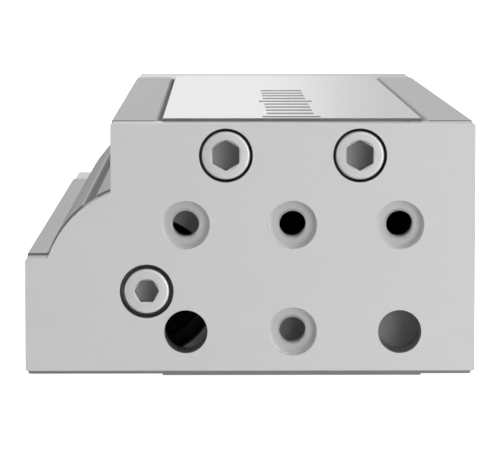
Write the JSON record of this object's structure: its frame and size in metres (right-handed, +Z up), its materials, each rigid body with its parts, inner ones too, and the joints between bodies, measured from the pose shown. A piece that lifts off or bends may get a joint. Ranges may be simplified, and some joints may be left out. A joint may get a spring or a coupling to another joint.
{
  "type": "pneumatic mini slide",
  "caption": "Ball-guided pneumatic mini slide: a stepped body with a cylinder in its shoulder, a flat slide on top and a yoke plate with tapped holes that travels 100 mm.",
  "frame": {"origin": "centre of the mounting pad, below the middle of the housing", "axes": "+X to the right seen from the yoke plate, +Y from the yoke plate to the end cap, +Z up to the slide"},
  "size_m": [0.084, 0.2243, 0.0488],
  "materials": {
    "anodised_aluminium": "clear anodised",
    "ground_steel": "ground",
    "ball_steel": "polished",
    "screw_steel": "galvanised",
    "bronze": "sintered",
    "elastomer": "moulded",
    "engineering_plastic": "moulded",
    "magnet": "pressed ferrite"
  },
  "bodies": {
    "housing": {"housing": "anodised_aluminium", "end_cap": "anodised_aluminium", "end_cap_screws": "screw_steel", "end_cap_o_ring": "elastomer", "end_cap_plugs": "screw_steel", "bearing_cap": "anodised_aluminium", "rod_bush": "bronze", "rod_seal": "elastomer", "rod_wiper": "elastomer", "bearing_o_ring": "elastomer", "retaining_ring": "ball_steel", "front_cushion": "elastomer", "rear_cushion": "elastomer", "outer_rail_left": "ground_steel", "outer_rail_right": "ground_steel", "outer_rail_screws_left": "screw_steel", "outer_rail_screws_right": "screw_steel", "cage_stop_pins": "ball_steel", "front_stop_holder": "anodised_aluminium", "rear_stop_holder": "anodised_aluminium", "stop_holder_screws": "screw_steel", "stop_lock_nuts": "screw_steel"},
    "slide": {"slide": "ground_steel", "yoke_plate": "anodised_aluminium", "yoke_screws": "screw_steel", "rod_screw": "screw_steel", "yoke_dowels": "ball_steel", "piston_rod": "ground_steel", "piston": "anodised_aluminium", "piston_nut": "screw_steel", "piston_seals": "elastomer", "piston_magnet": "magnet", "piston_wear_ring": "engineering_plastic", "inner_rail_left": "ground_steel", "inner_rail_right": "ground_steel", "inner_rail_screws_left": "screw_steel", "inner_rail_screws_right": "screw_steel", "stop_block": "ground_steel", "stop_block_screws": "screw_steel"},
    "cage_left": {"ball_cage_left": "engineering_plastic", "balls_left": "ball_steel"},
    "cage_right": {"ball_cage_right": "engineering_plastic", "balls_right": "ball_steel"},
    "front_stop": {"front_stop_screw": "screw_steel", "front_stop_buffer": "elastomer"},
    "rear_stop": {"rear_stop_screw": "screw_steel", "rear_stop_buffer": "elastomer"}
  },
  "joints": [
    {"name": "slide_travel", "type": "slide", "parent": "housing", "child": "slide", "axis": [0, -1, 0], "range_m": [0, 0.1]},
    {"name": "cage_left_travel", "type": "slide", "parent": "housing", "child": "cage_left", "axis": [0, -1, 0], "range_m": [0, 0.05]},
    {"name": "cage_right_travel", "type": "slide", "parent": "housing", "child": "cage_right", "axis": [0, -1, 0], "range_m": [0, 0.05]},
    {"name": "front_stop_setting", "type": "slide", "parent": "housing", "child": "front_stop", "axis": [0, -1, 0], "range_m": [0, 0.006]},
    {"name": "rear_stop_setting", "type": "slide", "parent": "housing", "child": "rear_stop", "axis": [0, 1, 0], "range_m": [0, 0.006]}
  ],
  "couplings": [
    {"joint": "cage_left_travel", "follows": "slide_travel", "ratio": 0.5},
    {"joint": "cage_right_travel", "follows": "slide_travel", "ratio": 0.5}
  ]
}
